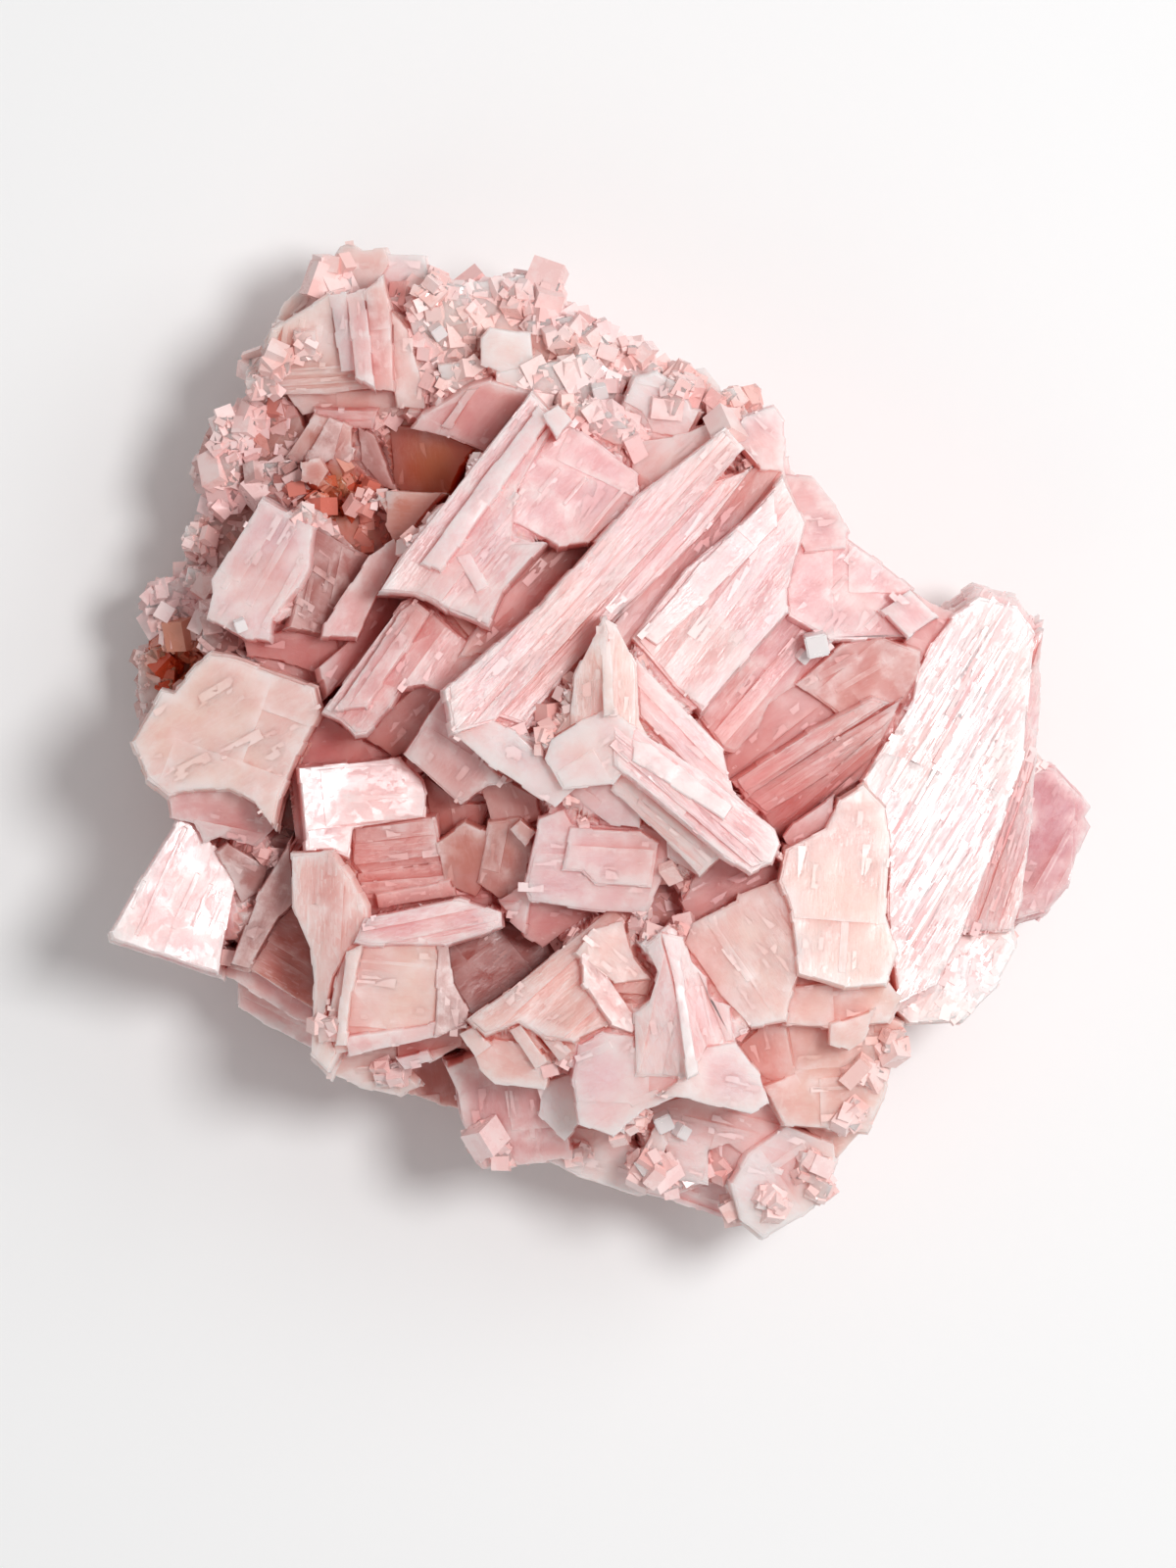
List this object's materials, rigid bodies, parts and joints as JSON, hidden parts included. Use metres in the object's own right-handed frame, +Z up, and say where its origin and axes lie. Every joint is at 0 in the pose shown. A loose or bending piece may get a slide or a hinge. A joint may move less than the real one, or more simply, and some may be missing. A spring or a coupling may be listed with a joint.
{
  "type": "halite crystal cluster",
  "caption": "Pink halite cluster: bars, blocks, striated plates and skeletal corners of rock salt grown through one another, lying on a flat-cut underside.",
  "frame": {"origin": "on the flat underside, under the middle of the plan grid the crystals are set out on", "axes": "+Z up out of the underside towards the crystals, +X to the right across the long parallel bars and +Y to the back, towards the stepped crown"},
  "size_m": [0.1018, 0.1033, 0.0451],
  "materials": {
    "pink_halite": "translucent pink rock salt with satin crystal faces, paler along the edges and redder in the hollows; a few faces are polished enough to flash"
  },
  "bodies": {
    "root": {"halite_cluster": "pink_halite"}
  },
  "joints": []
}
